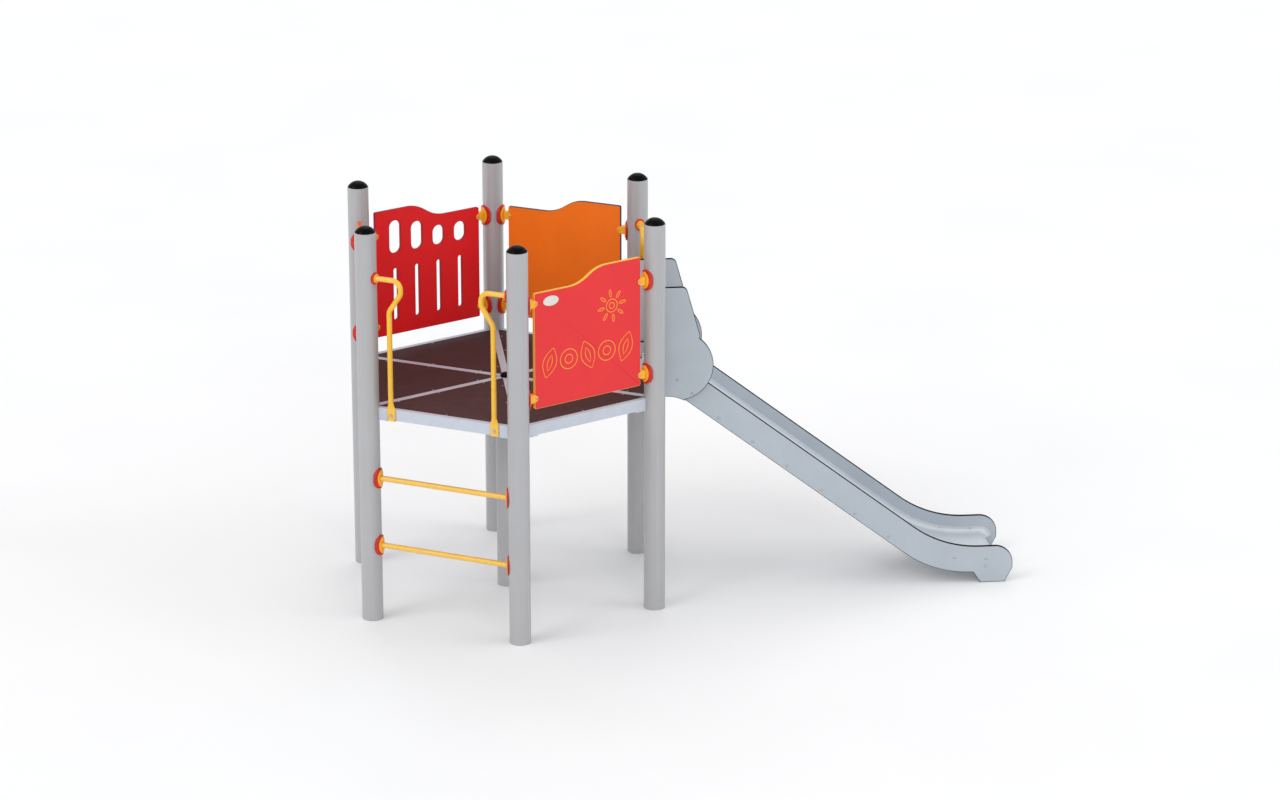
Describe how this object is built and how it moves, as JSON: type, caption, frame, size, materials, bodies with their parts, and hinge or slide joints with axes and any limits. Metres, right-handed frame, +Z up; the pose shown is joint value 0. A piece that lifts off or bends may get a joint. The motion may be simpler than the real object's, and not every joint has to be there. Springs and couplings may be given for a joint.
{
  "type": "straight slide",
  "caption": "Straight stainless slide on a hexagonal play tower with a raised deck, barrier panels, grab handles and climbing rungs.",
  "frame": {"origin": "centre of the hexagonal tower at ground level, on the underside of the centre post", "axes": "+X runs down the slide away from the tower, +Y is to the left of someone sliding down, +Z is up"},
  "size_m": [3.5811, 1.8736, 2.194],
  "materials": {
    "post_steel": "satin silver-grey coating",
    "black_plastic": "moulded, satin",
    "frame_paint": "pale blue-grey powder coat, satin",
    "deck_ply": "film-faced plywood, fine anti-slip texture",
    "steel": "zinc plated, satin",
    "orange_board": "solid-coloured sheet, fine grain",
    "red_board": "solid-coloured sheet, fine grain",
    "front_board": "red skins over a yellow core, fine grain",
    "white_plastic": "gloss",
    "slide_board": "grey sheet with darker machined edges",
    "sheet_steel": "ground stainless sheet",
    "yellow_tube": "yellow powder coat, semi-gloss",
    "red_fitting": "moulded nylon, semi-gloss",
    "yellow_fitting": "moulded nylon, semi-gloss"
  },
  "bodies": {
    "root": {"badge_plate": "white_plastic", "board_screws": "steel", "centre_post": "post_steel", "chute_wall_left": "slide_board", "chute_wall_right": "slide_board", "clip_bolts": "steel", "corner_plates": "frame_paint", "cross_tubes": "steel", "deck_board_1": "deck_ply", "deck_board_2": "deck_ply", "deck_board_3": "deck_ply", "deck_board_4": "deck_ply", "deck_board_5": "deck_ply", "deck_board_6": "deck_ply", "deck_hub": "frame_paint", "deck_rim_1": "frame_paint", "deck_rim_2": "frame_paint", "deck_rim_3": "frame_paint", "deck_rim_4": "frame_paint", "deck_rim_5": "frame_paint", "deck_rim_6": "frame_paint", "deck_spoke_1": "frame_paint", "deck_spoke_2": "frame_paint", "deck_spoke_3": "frame_paint", "deck_spoke_4": "frame_paint", "deck_spoke_5": "frame_paint", "deck_spoke_6": "frame_paint", "end_panel": "orange_board", "frame_bolts": "steel", "front_panel": "front_board", "handle_1": "yellow_tube", "handle_2": "yellow_tube", "handle_3": "yellow_tube", "handle_4": "yellow_tube", "handle_bosses": "yellow_fitting", "handle_saddles": "red_fitting", "head_brackets": "steel", "hub_cap": "black_plastic", "lower_rung": "yellow_tube", "panel_bosses": "yellow_fitting", "panel_clips": "yellow_fitting", "post_1": "post_steel", "post_2": "post_steel", "post_3": "post_steel", "post_4": "post_steel", "post_5": "post_steel", "post_6": "post_steel", "post_caps": "black_plastic", "rear_panel": "orange_board", "rung_bosses": "yellow_fitting", "saddle_studs": "steel", "saddles": "red_fitting", "slide_bolts": "steel", "trough": "sheet_steel", "upper_rung": "yellow_tube", "window_panel": "red_board", "wing_left": "slide_board", "wing_right": "slide_board"}
  },
  "joints": []
}
